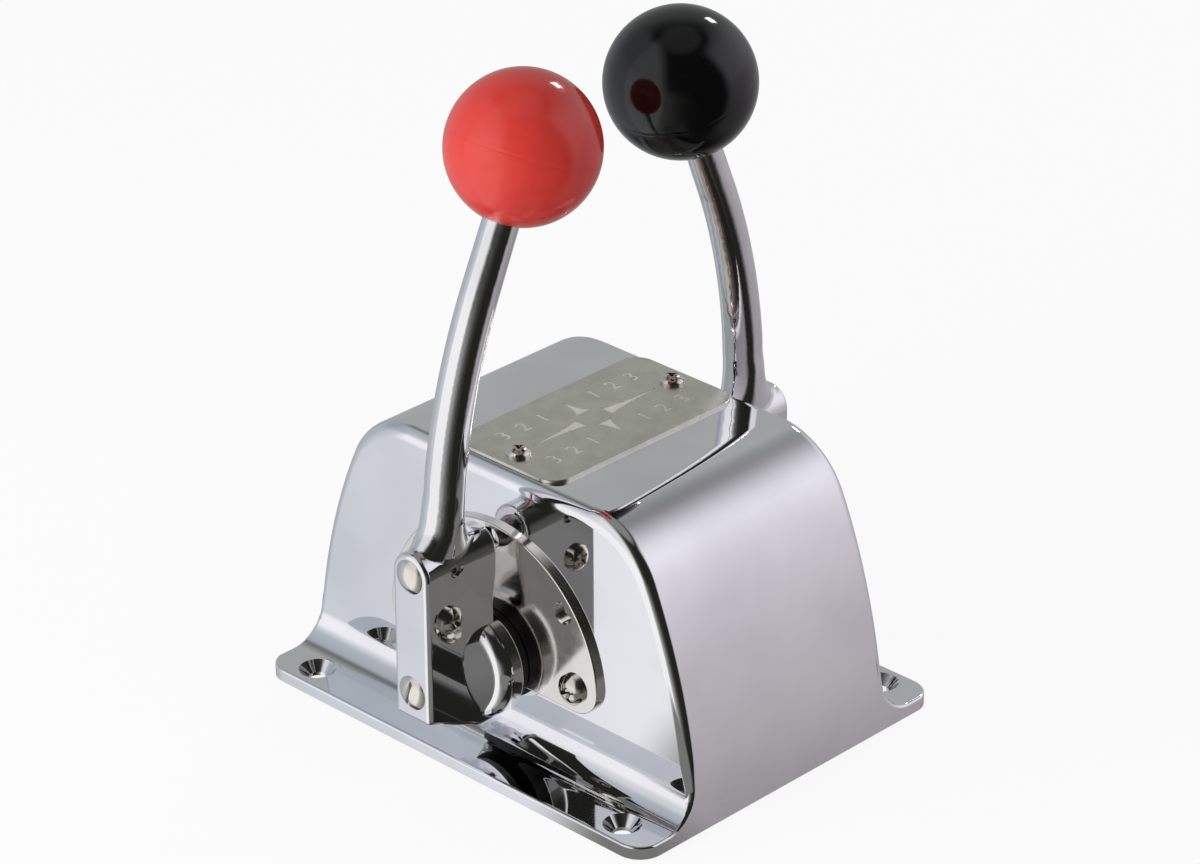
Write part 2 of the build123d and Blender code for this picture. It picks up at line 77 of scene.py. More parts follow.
cameraShape = {
    "place": (-0.88974, -0.87200, 0.72693),
    "azimuth": -45.625,
    "elevation": 27.226,
    "roll": -0.31,
    "lens": 143.9,
    "sensor": 36,
    "nearest": 0.01,
}
cameraData = bpy.data.cameras.new("viewCamera")
cameraData.sensor_fit = "HORIZONTAL"
cameraData.sensor_width = cameraShape["sensor"]
cameraData.lens = cameraShape["lens"]
cameraData.clip_start = cameraShape["nearest"]
camera = bpy.data.objects.new("viewCamera", cameraData)
bpy.context.scene.collection.objects.link(camera)
turn = Matrix.Rotation(math.radians(cameraShape["azimuth"]), 4, "Z")
tip = Matrix.Rotation(math.radians(90 - cameraShape["elevation"]), 4, "X")
roll = Matrix.Rotation(math.radians(cameraShape["roll"]), 4, "Z")
camera.matrix_world = Matrix.Translation(cameraShape["place"]) @ turn @ tip @ roll
bpy.context.scene.camera = camera
bpy.context.scene.view_settings.view_transform = "Standard"
print("camera ready")


lampShape = {
    "aim": (0, 0, 0.08),
    # place, power and size
    "lamps": {
        "keyLamp": ((-1.25, 0.25, 0.5), 14.0, 0.9),
        "fillLamp": ((0.5, -1.0, 1.2), 1.5, 0.9),
        "rimLamp": ((0.95, 0.28, 0.78), 1.2, 0.14),
    },
    "mirrored": "rimLamp",  # the small bright window on both knobs
}
for name, (place, power, size) in lampShape["lamps"].items():
    lampData = bpy.data.lights.new(name, "AREA")
    lampData.energy = power
    lampData.size = size
    lamp = bpy.data.objects.new(name, lampData)
    lamp.location = place
    lamp.rotation_euler = (Vector(lampShape["aim"]) - Vector(place)).to_track_quat("-Z", "Y").to_euler()
    lamp.visible_glossy = name == lampShape["mirrored"]
    bpy.context.scene.collection.objects.link(lamp)


# what the chrome mirrors: a cool card on the left, a faintly violet one on the right, grey paper
# behind, a grey ceiling and the dark room on the near side
studioShape = {
    "plainStrength": 0.4,  # of the even sky that lights the object
    "directions": {"across": (0.6993, -0.7148, 0.0), "along": (0.7148, 0.6993, 0.0), "upward": (0, 0, 1)},
    # colours by how far the mirrored ray points in one direction
    "colours": {
        "nearRoom": ("across", (
            (-0.7, "#FFFFFF"), (-0.52, "#FFFFFF"), (-0.40, "#B4B4B0"), (-0.1, "#747571"), (0.2, "#3C3D38"),
            (0.45, "#24251F"),
        )),
        "nearCeiling": ("across", ((-0.7, "#FFFFFF"), (-0.5, "#C8C8C8"), (-0.3, "#3C3D38"), (0.0, "#24251F"))),
        "farRoom": ("along", ((0.2, "#202020"), (0.45, "#6E706E"), (0.7, "#A9ADAC"))),
        "leftPaper": ("along", (
            (-0.3, "#FFFFFF"), (-0.06, "#FBFBFF"), (-0.02, "#EEF0F4"), (0.04, "#D2D6DC"), (0.5, "#B6BCC3"),
        )),
        "leftPaperTop": ("along", (
            (-0.3, "#E8E9EB"), (-0.06, "#DCDEE2"), (-0.02, "#CDD2D8"), (0.04, "#BAC1C8"), (0.5, "#A0A7AF"),
        )),
        "rightPaper": ("upward", (
            (-0.5, "#9E9A9E"), (-0.3, "#B7B0B6"), (-0.1, "#C4BEC5"), (0.03, "#D2CCD4"), (0.14, "#E6E2EA"),
            (0.45, "#F2F0F8"), (0.8, "#ECEAF2"),
        )),
        "ceiling": ("upward", ((0.0, "#7A7C7A"), (1.0, "#858785"))),
    },
    # each rises smoothly from 0 to 1 between two values, and several multiply
    "shares": {
        "nearTop": (("upward", -0.1, 0.3),),
        "paperTop": (("upward", 0.1, 0.4),),
        "far": (("along", -0.05, 0.20),),
        "leftCard": (("across", -0.42, -0.62), ("upward", 0.90, 0.74)),
        "rightCard": (("across", 0.30, 0.86), ("upward", 0.90, 0.78), ("along", -0.45, -0.15)),
        "overhead": (("upward", 0.86, 0.96),),
    },
    # result, what lies under, what covers it, and the share that it covers
    "layers": (
        ("nearSide", "nearRoom", "nearCeiling", "nearTop"),
        ("leftSide", "leftPaper", "leftPaperTop", "paperTop"),
        ("room", "nearSide", "farRoom", "far"),
        ("room", "room", "leftSide", "leftCard"),
        ("room", "room", "rightPaper", "rightCard"),
        ("room", "room", "ceiling", "overhead"),
    ),
}
world = bpy.data.worlds.new("studio")
bpy.context.scene.world = world
world.use_nodes = True
sky = world.node_tree
sky.nodes.clear()
rayPlace = addNode(sky, "ShaderNodeTexCoord")
facing, shares, colours = {}, {}, {}
for name, direction in studioShape["directions"].items():
    part = addNode(
        sky, "ShaderNodeVectorMath", {"operation": "DOT_PRODUCT"}, {1: direction}, {0: (rayPlace, "Generated")}
    )
    facing[name] = (part, "Value")
for name, (direction, stops) in studioShape["colours"].items():
    low, high = stops[0][0], stops[-1][0]
    reach = addNode(
        sky, "ShaderNodeMapRange", values={"From Min": low, "From Max": high},
        links={"Value": facing[direction]},
    )
    ramp = addNode(
        sky, "ShaderNodeValToRGB", links={"Fac": (reach, "Result")},
        stops=[((value - low) / (high - low), code) for value, code in stops],
    )
    colours[name] = (ramp, "Color")
for name, edges in studioShape["shares"].items():
    for direction, start, end in edges:
        # a smooth step needs its ends in rising order, so a falling one turns its results round
        rise = addNode(
            sky, "ShaderNodeMapRange", {"interpolation_type": "SMOOTHSTEP"},
            {
                "From Min": min(start, end), "From Max": max(start, end),
                "To Min": float(start > end), "To Max": float(start < end),
            },
            {"Value": facing[direction]},
        )
        share = (rise, "Result")
        if name in shares:
            product = addNode(
                sky, "ShaderNodeMath", {"operation": "MULTIPLY"}, links={0: shares[name], 1: share}
            )
            share = (product, "Value")
        shares[name] = share
for name, under, over, share in studioShape["layers"]:
    # a colour mix has its two colours on inputs 6 and 7 and its result on output 2
    layer = addNode(
        sky, "ShaderNodeMix", {"data_type": "RGBA"},
        links={"Factor": shares[share], 6: colours[under], 7: colours[over]},
    )
    colours[name] = (layer, 2)
white = (1, 1, 1, 1)
glossySky = addNode(sky, "ShaderNodeBackground", links={"Color": colours["room"]})
plainSky = addNode(
    sky, "ShaderNodeBackground", values={"Color": white, "Strength": studioShape["plainStrength"]}
)
whiteSky = addNode(sky, "ShaderNodeBackground", values={"Color": white})
skyRay = addNode(sky, "ShaderNodeLightPath")
mirroredSky = addNode(
    sky, "ShaderNodeMixShader", links={0: (skyRay, "Is Glossy Ray"), 1: (plainSky, 0), 2: (glossySky, 0)}
)
seenSky = addNode(
    sky, "ShaderNodeMixShader", links={0: (skyRay, "Is Camera Ray"), 1: (mirroredSky, 0), 2: (whiteSky, 0)}
)
addNode(sky, "ShaderNodeOutputWorld", links={"Surface": (seenSky, 0)})


floorShape = {
    "size": 6.0,
    "drop": 0.0004,  # below the object's feet
    "paper": "#F6F6F6",
    "whiteShare": 0.9,  # of what the camera sees, the rest keeps the object's shadow
    # a grey sheet that only mirrored rays see, painted shadow where the table lies in the object's shade
    "paintedShadePlace": (-0.100, -0.095, 0.0),
    "paintedShadeEdge": (0.045, 0.075),  # distances between which the grey sheet of painted shadow fades out
    "paintedShadeColour": "#7C7C7A",
}
bpy.ops.object.select_all(action="DESELECT")
bpy.ops.mesh.primitive_plane_add(size=floorShape["size"], location=(0, 0, -floorShape["drop"]))
floor = bpy.context.object
floor.name = "floor"
floorMaterial = newMaterial("floorPaper")
tree = floorMaterial.node_tree
floorRay = addNode(tree, "ShaderNodeLightPath")
paper = addNode(tree, "ShaderNodeBsdfDiffuse", values={"Color": linearColour(floorShape["paper"])})
whitePaper = addNode(tree, "ShaderNodeEmission", values={"Color": white})
whiteShare = addNode(
    tree, "ShaderNodeMath", {"operation": "MULTIPLY"}, {1: floorShape["whiteShare"]},
    {0: (floorRay, "Is Camera Ray")},
)
seenPaper = addNode(
    tree, "ShaderNodeMixShader", links={0: (whiteShare, 0), 1: (paper, 0), 2: (whitePaper, 0)}
)
# the chrome mirrors the cards through the floor, apart from a grey sheet that lies by the port foot: a painted
# shadow of the table in the object's shade
floorPlace = addNode(tree, "ShaderNodeTexCoord")
paintedShadeReach = addNode(
    tree, "ShaderNodeVectorMath", {"operation": "DISTANCE"}, {1: floorShape["paintedShadePlace"]},
    {0: (floorPlace, "Object")},
)
paintedShadeShare = addNode(
    tree, "ShaderNodeMapRange", {"interpolation_type": "SMOOTHSTEP"},
    {
        "From Min": floorShape["paintedShadeEdge"][0], "From Max": floorShape["paintedShadeEdge"][1],
        "To Min": 1.0, "To Max": 0.0,
    },
    {"Value": (paintedShadeReach, "Value")},
)
paintedShadeSheet = addNode(tree, "ShaderNodeEmission", values={"Color": linearColour(floorShape["paintedShadeColour"])})
clearPaper = addNode(tree, "ShaderNodeBsdfTransparent")
mirroredPaper = addNode(
    tree, "ShaderNodeMixShader", links={0: (paintedShadeShare, 0), 1: (clearPaper, 0), 2: (paintedShadeSheet, 0)}
)
floorSurface = addNode(
    tree, "ShaderNodeMixShader",
    links={0: (floorRay, "Is Glossy Ray"), 1: (seenPaper, 0), 2: (mirroredPaper, 0)},
)
addNode(tree, "ShaderNodeOutputMaterial", links={"Surface": (floorSurface, 0)})
floor.data.materials.append(floorMaterial)
print("light and floor ready")


weldGap = 0.005  # millimetres, below which two points of an outline are one


def mm(*values):
    # millimetres to metres
    return tuple(v / 1000 for v in values)


def makeActive(item):
    bpy.ops.object.select_all(action="DESELECT")
    item.select_set(True)
    bpy.context.view_layer.objects.active = item


def startOutline(name, place):
    # one vertex, from which an outline is drawn in edit mode
    bpy.ops.object.select_all(action="DESELECT")
    bpy.ops.mesh.primitive_plane_add(size=0.001)
    item = bpy.context.object
    item.name = name
    bpy.ops.object.mode_set(mode="EDIT")
    bpy.ops.mesh.select_mode(type="VERT")
    bpy.ops.mesh.select_all(action="SELECT")
    bpy.ops.mesh.merge(type="CENTER")
    bpy.ops.transform.translate(value=mm(*place))
    return item


def drawLine(*step):
    bpy.ops.mesh.extrude_region_move(TRANSFORM_OT_translate={"value": mm(*step)})


def drawArc(centre, angle, axis, steps):
    # the operator turns against the right-hand rule, so the angle is negated
    bpy.ops.mesh.spin(steps=steps, angle=-math.radians(angle), center=mm(*centre), axis=axis)


def fillAndExtrude(*step):
    # closes the outline, makes its face and pulls it out to a prism
    bpy.ops.mesh.select_all(action="SELECT")
    bpy.ops.mesh.remove_doubles(threshold=weldGap / 1000)
    bpy.ops.mesh.select_all(action="SELECT")
    bpy.ops.mesh.edge_face_add()
    bpy.ops.mesh.select_all(action="SELECT")
    drawLine(*step)
    bpy.ops.mesh.select_all(action="SELECT")
    bpy.ops.mesh.normals_make_consistent(inside=False)
    bpy.ops.object.mode_set(mode="OBJECT")


def turnOutline(centre, steps):
    # spins the outline about a vertical line to a closed shape
    bpy.ops.mesh.select_all(action="SELECT")
    drawArc(centre, 360, (0, 0, 1), steps)
    bpy.ops.mesh.select_all(action="SELECT")
    bpy.ops.mesh.remove_doubles(threshold=weldGap / 1000)
    bpy.ops.mesh.normals_make_consistent(inside=False)
    bpy.ops.object.mode_set(mode="OBJECT")


def sortByPlace(item):
    # a boolean leaves its elements in no fixed order, and what follows depends on it
    work = bmesh.new()
    work.from_mesh(item.data)
    for number, vertex in enumerate(sorted(work.verts, key=lambda v: v.co[:])):
        vertex.index = number
    work.verts.sort()
    for elements in (work.edges, work.faces):
        ranked = sorted(elements, key=lambda element: sorted(v.index for v in element.verts))
        for number, element in enumerate(ranked):
            element.index = number
        elements.sort()
    work.to_mesh(item.data)
    work.free()


def mergeClose(item, distance):
    sortByPlace(item)
    makeActive(item)
    bpy.ops.object.mode_set(mode="EDIT")
    bpy.ops.mesh.select_all(action="SELECT")
    bpy.ops.mesh.remove_doubles(threshold=distance / 1000)
    bpy.ops.mesh.normals_make_consistent(inside=False)
    bpy.ops.object.mode_set(mode="OBJECT")


def applyModifier(item, kind, **settings):
    makeActive(item)
    modifier = item.modifiers.new("step", kind)
    for name, value in settings.items():
        setattr(modifier, name, value)
    bpy.ops.object.modifier_apply(modifier=modifier.name)


def combine(item, tool, operation):
    applyModifier(item, "BOOLEAN", operation=operation, object=tool, solver="EXACT")
    bpy.data.objects.remove(tool)


def joinPieces(items):
    makeActive(items[0])
    for item in items:
        item.select_set(True)
    bpy.ops.object.join()
    return bpy.context.object


def placeInMesh(item):
    # the object goes to the origin, and its place into its mesh
    makeActive(item)
    bpy.ops.object.transform_apply(location=True, rotation=True, scale=True)


def addBar(axis, radius, start, end, place, sides):
    # a round bar along X or Z between two stations, at the given place on the other two axes
    along = axis == "X"
    middle = (start + end) / 2
    bpy.ops.object.select_all(action="DESELECT")
    bpy.ops.mesh.primitive_cylinder_add(
        vertices=sides, radius=radius / 1000, depth=abs(end - start) / 1000,
        location=mm(middle, *place) if along else mm(*place, middle),
        rotation=(0, math.pi / 2 if along else 0, 0),
    )
    placeInMesh(bpy.context.object)
    return bpy.context.object


def bevelEdges(item, wanted, radius, steps):
    # rounds the edges whose two ends pass the test
    makeActive(item)
    bpy.ops.object.mode_set(mode="EDIT")
    bpy.ops.mesh.select_mode(type="EDGE")
    bpy.ops.mesh.select_all(action="DESELECT")
    bpy.ops.object.mode_set(mode="OBJECT")
    for edge in item.data.edges:
        edge.select = wanted(*(item.data.vertices[i].co for i in edge.vertices))
    bpy.ops.object.mode_set(mode="EDIT")
    bpy.ops.mesh.bevel(offset=radius / 1000, segments=steps, affect="EDGES")
    bpy.ops.object.mode_set(mode="OBJECT")


def isUpright(first, second):
    return abs(first.z - second.z) > weldGap / 1000


def between(value, stops):
    # the value on a line of (place, value) stops
    if value <= stops[0][0]:
        return stops[0][1]
    for (a, first), (b, second) in zip(stops, stops[1:]):
        if value <= b:
            return first + (second - first) * (value - a) / (b - a)
    return stops[-1][1]


housingShape = {
    "height": 89.8,
    "halfLength": 78.65,
    "wallRadius": 200.0,
    "wallLean": 2.6,
    "wallSteps": 28,
    "crownRadius": 27.0,
    "crownSteps": 24,
    "halfBody": 41.9,
    "halfBase": 63.45,
    "flange": 4.0,
    "footRadius": 10.0,
    "footSteps": 14,
    "cornerRadius": 8.0,
    "cornerSteps": 12,
    # rounding of the outer edges, as height against radius
    "edgeRadii": ((4.0, 0.8), (6.0, 1.0), (14.0, 2.4), (24.0, 3.2), (70.0, 3.4), (86.0, 4.4), (89.8, 4.6)),
    "edgeSteps": 7,
    "sharpEdge": 0.5,  # radians between two faces, above which their edge is rounded
    "underside": 0.5,  # edges below this height stay sharp
    "level": 0.1,  # height difference of an edge that counts as level
    "boltClear": 6.5,  # no rounding within this distance of a bolt hole
    "shortest": 0.2,  # edges below this are closed before the rounding
    "wall": 3.0,
    "insideCorner": 2.0,
    "insideSteps": 4,
    "insideAngle": 50,
    "shaftHeight": 30.0,
    # radius, length and bore, and the sides of the standing and of the bored bar
    "boss": (13.0, 9.0, 8.02, 64, 64),
    "quadrantPost": (5.0, 5.0, 2.5, 40, 32),
    "quadrantPostPlace": (33.0, 31.0),
    "platePost": (4.6, 9.0, 2.0, 40, 32),
    "platePostPlace": 32.1,
    "boltPlace": (55.4, 63.7),
    "boltHole": 2.8,
    "countersink": 5.7,
    "sinkSteps": 48,
    "smoothAngle": 32,
    "normalWeight": 60,
}
# how far the shapes that cut the housing, or stand in it, reach past what they meet
cutShape = {"halfPrism": 100, "margin": 10, "below": 5, "overlap": 1, "endGap": 0.02, "plan": (-20, 100)}


def loafOutline(name, x, inset, drop):
    # the fore-and-aft section: leaning curved walls, round crowns and a flat top
    shape = housingShape
    wallRadius, crownRadius = shape["wallRadius"], shape["crownRadius"]
    lean = math.radians(shape["wallLean"])
    wallY = shape["halfLength"] - wallRadius * math.cos(lean)
    wallZ = -wallRadius * math.sin(lean)
    bend = math.asin((shape["height"] - crownRadius - wallZ) / (wallRadius - crownRadius))
    crownY = wallY + (wallRadius - crownRadius) * math.cos(bend)
    crownZ = shape["height"] - crownRadius
    foot = math.asin(-wallZ / (wallRadius - inset))
    footY = wallY + (wallRadius - inset) * math.cos(foot)
    rise, curl = math.degrees(bend - foot), 90 - math.degrees(bend)
    item = startOutline(name, (x, footY, -drop))
    if drop:
        drawLine(0, 0, drop)
    drawArc((x, wallY, wallZ), rise, (1, 0, 0), shape["wallSteps"])
    drawArc((x, crownY, crownZ), curl, (1, 0, 0), shape["crownSteps"])
    drawLine(0, -2 * crownY, 0)
    drawArc((x, -crownY, crownZ), curl, (1, 0, 0), shape["crownSteps"])
    drawArc((x, -wallY, wallZ), rise, (1, 0, 0), shape["wallSteps"])
    if drop:
        drawLine(0, 0, -drop)
    return item


def hatOutline(name, y):
    # the side-to-side section: body, hollow foot curves and flanges
    shape, margin, below = housingShape, cutShape["margin"], cutShape["below"]
    footX, footZ = shape["halfBody"] + shape["footRadius"], shape["flange"] + shape["footRadius"]
    rim = shape["halfBase"] + margin
    item = startOutline(name, (rim, y, -below))
    drawLine(0, 0, shape["flange"] + below)
    drawLine(footX - rim, 0, 0)
    drawArc((footX, y, footZ), 90, (0, 1, 0), shape["footSteps"])
    drawLine(0, 0, shape["height"] + margin - footZ)
    drawLine(-2 * shape["halfBody"], 0, 0)
    drawLine(0, 0, footZ - shape["height"] - margin)
    drawArc((-footX, y, footZ), 90, (0, 1, 0), shape["footSteps"])
    drawLine(footX - rim, 0, 0)
    drawLine(0, 0, -shape["flange"] - below)
    return item


def planPrism():
    # the base seen from above: a block with its four corners rounded
    shape = housingShape
    bottom, top = cutShape["plan"]
    bpy.ops.object.select_all(action="DESELECT")
    bpy.ops.mesh.primitive_cube_add(size=1, location=mm(0, 0, (bottom + top) / 2))
    item = bpy.context.object
    item.scale = mm(2 * shape["halfBase"], 2 * (shape["halfLength"] + cutShape["endGap"]), top - bottom)
    placeInMesh(item)
    bevelEdges(item, isUpright, shape["cornerRadius"], shape["cornerSteps"])
    return item


def boltSink(x, y):
    # clearance hole and countersink in one turned shape
    shape, overlap = housingShape, cutShape["overlap"]
    hole, sink = shape["boltHole"], shape["countersink"]
    item = startOutline("boltSink", (x, y, -overlap))
    drawLine(hole, 0, 0)
    drawLine(0, 0, overlap + shape["flange"] - sink + hole)
    drawLine(sink - hole, 0, sink - hole)
    drawLine(0, 0, 2 * overlap)
    drawLine(-sink, 0, 0)
    turnOutline((x, y, 0), shape["sinkSteps"])
    return item


def roundOuterEdges(item):
    # every sharp edge above the underside, each rounded by its height
    shape = housingShape
    boltX, boltY = shape["boltPlace"]
    largest = max(radius for height, radius in shape["edgeRadii"])
    work = bmesh.new()
    work.from_mesh(item.data)
    weight = work.edges.layers.float.new("bevel_weight_edge")
    for edge in work.edges:
        first, second = (vertex.co * 1000 for vertex in edge.verts)
        middle = (first + second) / 2
        if len(edge.link_faces) != 2 or middle.z < shape["underside"]:
            continue
        if edge.calc_face_angle() < shape["sharpEdge"]:
            continue
        upright = middle.z < shape["flange"] - shape["level"] and abs(first.z - second.z) > shape["level"]
        away = math.hypot(abs(middle.x) - boltX, abs(middle.y) - boltY)
        if not upright and away > shape["boltClear"]:
            edge[weight] = between(middle.z, shape["edgeRadii"]) / largest
    work.to_mesh(item.data)
    work.free()
    applyModifier(
        item, "BEVEL", width=largest / 1000, segments=shape["edgeSteps"], limit_method="WEIGHT",
        use_clamp_overlap=False,
    )


def makeHousing():
    shape, overlap, reach = housingShape, cutShape["overlap"], cutShape["halfPrism"]
    housing = loafOutline("housingCasting", -reach, 0, 0)
    fillAndExtrude(2 * reach, 0, 0)
    hat = hatOutline("hatPrism", -reach)
    fillAndExtrude(0, 2 * reach, 0)
    combine(housing, hat, "INTERSECT")
    combine(housing, planPrism(), "INTERSECT")
    boltX, boltY = shape["boltPlace"]
    sinks = [boltSink(x, y) for x in (-boltX, boltX) for y in (-boltY, boltY)]
    combine(housing, joinPieces(sinks), "DIFFERENCE")
    mergeClose(housing, shape["shortest"])
    roundOuterEdges(housing)

    outer, inner = shape["halfBody"], shape["halfBody"] - shape["wall"]
    hollow = loafOutline("hollowPrism", -inner, shape["wall"], 2 * overlap)
    fillAndExtrude(2 * inner, 0, 0)
    applyModifier(
        hollow, "BEVEL", width=shape["insideCorner"] / 1000, segments=shape["insideSteps"],
        limit_method="ANGLE", angle_limit=math.radians(shape["insideAngle"]),
    )
    combine(housing, hollow, "DIFFERENCE")

    standing, bored = [], []
    postY, postZ = shape["quadrantPostPlace"]
    sideBars = [(shape["boss"], 0, shape["shaftHeight"])]
    sideBars += [(shape["quadrantPost"], y, postZ) for y in (-postY, postY)]
    roof = shape["height"] - shape["wall"]
    for side in (-1, 1):
        for (radius, length, bore, postSides, boreSides), y, z in sideBars:
            start = side * (inner - length)
            standing.append(addBar("X", radius, start, side * (inner + overlap), (y, z), postSides))
            bored.append(addBar("X", bore, start - side * overlap, side * (outer + overlap), (y, z), boreSides))
        radius, length, bore, postSides, boreSides = shape["platePost"]
        place = (side * shape["platePostPlace"], 0)
        standing.append(addBar("Z", radius, roof - length, roof + overlap, place, postSides))
        bored.append(addBar("Z", bore, roof - length - overlap, shape["height"] + overlap, place, boreSides))
    combine(housing, joinPieces(standing), "UNION")
    combine(housing, joinPieces(bored), "DIFFERENCE")
    makeActive(housing)
    bpy.ops.object.shade_smooth_by_angle(angle=math.radians(shape["smoothAngle"]))
    applyModifier(housing, "WEIGHTED_NORMAL", weight=shape["normalWeight"], keep_sharp=True)
    return housing


housing = makeHousing()
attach(housing, "base")
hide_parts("housing")
print("housing ready")


plateShape = {
    "bottom": housingShape["height"],
    "length": 77.2,
    "width": 42.0,
    "thickness": 1.0,
    "cornerRadius": 6.5,
    "cornerSteps": 16,
    "edge": 0.25,
    "edgeSteps": 4,
    "screwPlace": housingShape["platePostPlace"],
    "screwHole": 2.25,
    "holeSides": 48,
    "smoothAngle": 32,
    "depth": 0.15,  # of the engraving
    "facingUp": 0.9,  # upward part of a face's normal, above which it is a floor
    "graver": 3.0,  # height of the shapes that cut it
    "centre": (-0.3, 0.7),
    # spikes about the centre: direction, distance of the base, distance of the tip, half width
    "spikes": (
        (90, 4.3, 12.6, 2.9),
        (270, 4.0, 12.0, 2.9),
        (180, 5.4, 25.6, 2.3),
        (0, 5.4, 25.6, 2.3),
    ),
    "spikeHollow": 0.34,  # how far the sides curve in, as a share of the half width
    "spikeSteps": 8,
    "spikeTip": 0.12,  # half width
    "digits": 3,
    "digitHeight": 7.6,
    "digitPitch": 8.0,
    "digitStart": 10.6,
    "digitRows": (8.1, -12.7),
    "digitWeight": 0.1,  # added to each side of a stroke
    "digitSteps": 3,
}


def spikePrism(centre, angle, base, tip, half):
    # a long triangle with hollow sides, standing across the plate's top
    shape = plateShape
    item = startOutline("spike", (centre[0] + base, centre[1] - half, shape["bottom"]))
    stations = [n / shape["spikeSteps"] for n in range(shape["spikeSteps"] + 1)]
    widths = [half * ((1 - t) - 4 * shape["spikeHollow"] * t * (1 - t) ** 2) for t in stations]
    widths[-1] = shape["spikeTip"]
    side = [(base + (tip - base) * t, -width) for t, width in zip(stations, widths)]
    outline = side + [(x, -y) for x, y in reversed(side)]
    for (x, y), (nextX, nextY) in zip(outline, outline[1:]):
        drawLine(nextX - x, nextY - y, 0)
    fillAndExtrude(0, 0, shape["graver"])
    bpy.ops.object.mode_set(mode="EDIT")
    bpy.ops.mesh.select_all(action="SELECT")
    bpy.ops.transform.rotate(
        value=-math.radians(angle), orient_axis="Z", center_override=mm(*centre, shape["bottom"])
    )
    bpy.ops.object.mode_set(mode="OBJECT")
    return item


def digitPrism(digit, x, y):
    # a plain number, as on a dial
    shape = plateShape
    bpy.ops.object.select_all(action="DESELECT")
    bpy.ops.object.text_add(location=mm(x, y, shape["bottom"] + shape["graver"] / 2))
    text = bpy.context.object
    text.data.body = digit
    text.data.align_x = "CENTER"
    text.data.size = shape["digitHeight"] / 1000
    text.data.extrude = shape["graver"] / 2 / 1000  # to each side
    text.data.resolution_u = shape["digitSteps"]
    text.data.offset = shape["digitWeight"] / 1000
    bpy.ops.object.convert(target="MESH")
    item = bpy.context.object
    placeInMesh(item)
    mergeClose(item, weldGap)
    return item


def makePlate():
    shape = plateShape
    bottom, top = shape["bottom"], shape["bottom"] + shape["thickness"]
    bpy.ops.object.select_all(action="DESELECT")
    bpy.ops.mesh.primitive_cube_add(size=1, location=mm(0, 0, (bottom + top) / 2))
    plate = bpy.context.object
    plate.name = "engravedPlate"
    plate.scale = mm(shape["length"], shape["width"], shape["thickness"])
    placeInMesh(plate)
    bevelEdges(plate, isUpright, shape["cornerRadius"], shape["cornerSteps"])
    bevelEdges(plate, lambda a, b: min(a.z, b.z) > (top - weldGap) / 1000, shape["edge"], shape["edgeSteps"])
    overlap = cutShape["overlap"]
    holes = [
        addBar("Z", shape["screwHole"], bottom - overlap, top + overlap, (x, 0), shape["holeSides"])
        for x in (-shape["screwPlace"], shape["screwPlace"])
    ]
    combine(plate, joinPieces(holes), "DIFFERENCE")
    marks = [spikePrism(shape["centre"], *spike) for spike in shape["spikes"]]
    x, y = shape["centre"]
    for row in shape["digitRows"]:
        for number in range(shape["digits"]):
            away = shape["digitStart"] + shape["digitPitch"] * number
            marks += [digitPrism(str(number + 1), x + side * away, y + row) for side in (-1, 1)]
    graver = joinPieces(marks)
    lowest = min(vertex.co.z for vertex in graver.data.vertices)
    graver.location.z = (top - shape["depth"]) / 1000 - lowest
    placeInMesh(graver)
    combine(plate, graver, "DIFFERENCE")
    makeActive(plate)
    bpy.ops.object.shade_smooth_by_angle(angle=math.radians(shape["smoothAngle"]))
    return plate


plate = makePlate()
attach(plate, "base")
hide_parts("name_plate")
print("name plate ready")


ballShape = {
    "radius": 22.5,
    "centre": (31.84, -3.35, 187.95),
    "axis": (-0.390731, -0.025702, 0.920146),
    "seat": 21.4,  # from the centre to the flat that the rod meets
    "bore": 6.05,
    "boreDepth": 17.2,
    "steps": 80,
    "turnSteps": 128,
    "lineWidth": 0.35,  # of the mould's parting line
    "lineDepth": 0.04,
    "lineClear": 1.25,  # how many line widths from it the ball's own rings stop
    "smoothAngle": 40,
}


def makeBall(name, side):
    # a moulded ball with a flat for the rod, a bore for its insert and the fine parting line of its mould
    shape = ballShape
    radius, seat, waist = shape["radius"], shape["seat"], math.pi / 2
    line = shape["lineWidth"] / radius
    last = math.pi - math.acos(seat / radius)
    angles = [last * n / shape["steps"] for n in range(shape["steps"] + 1)]
    rings = [(a, radius) for a in angles if abs(a - waist) > shape["lineClear"] * line]
    rings += [(waist - line, radius), (waist + line, radius)]
    rings += [(waist + half * line / 2, radius - shape["lineDepth"]) for half in (-1, 1)]
    spots = [(r * math.sin(a), r * math.cos(a)) for a, r in sorted(rings)]
    roof = shape["boreDepth"] - seat
    spots += [(shape["bore"], -seat), (shape["bore"], roof), (0, roof)]
    item = startOutline(name, (0, 0, radius))
    for (x, z), (nextX, nextZ) in zip(spots, spots[1:]):
        drawLine(nextX - x, 0, nextZ - z)
    turnOutline((0, 0, 0), shape["turnSteps"])
    centre, axis = (Vector((side * v[0], v[1], v[2])) for v in (shape["centre"], shape["axis"]))
    item.rotation_mode = "QUATERNION"
    item.rotation_quaternion = Vector((0, 0, 1)).rotation_difference(axis)
    item.location = centre / 1000
    placeInMesh(item)
    bpy.ops.object.shade_smooth_by_angle(angle=math.radians(shape["smoothAngle"]))
    return item


balls = {}
for name, side in sides.items():
    balls[name] = makeBall(name + "Ball", side)
    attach(balls[name], name + "_lever")
    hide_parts(name + "_knob")
print("knobs ready")


patternShape = {
    "tintSpan": (0.35, 0.65),  # the middle of a pattern, over which the colour changes
    "hazeSpan": (0.3, 0.7),  # and over which the roughness changes
    "bandsPerUnit": 20 / (2 * math.pi),  # of the wave texture at scale 1
}


